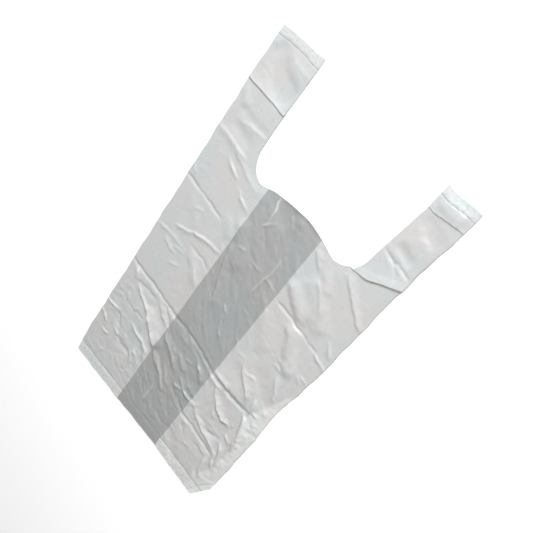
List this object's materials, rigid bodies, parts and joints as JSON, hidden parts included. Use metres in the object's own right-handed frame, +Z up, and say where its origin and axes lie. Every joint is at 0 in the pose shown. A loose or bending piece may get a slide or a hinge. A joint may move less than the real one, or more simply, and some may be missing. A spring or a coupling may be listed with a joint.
{
  "type": "plastic carrier bag",
  "caption": "Thin white film carrier bag with vest-style handles, empty and lying flat: a gusseted tube sealed across the bottom and the handle tops.",
  "frame": {"origin": "middle of the bag's outline in plan, on the surface it lies on", "axes": "+Y from the bottom seal towards the handles, +X across the face, +Z up from the surface, out of the front panel"},
  "size_m": [0.2552, 0.465, 0.0045],
  "materials": {
    "film": "thin white high-density polyethylene film, creased, with a soft sheen, greyer where only two layers lie on each other"
  },
  "bodies": {
    "root": {"carrier_bag": "film"}
  },
  "joints": []
}
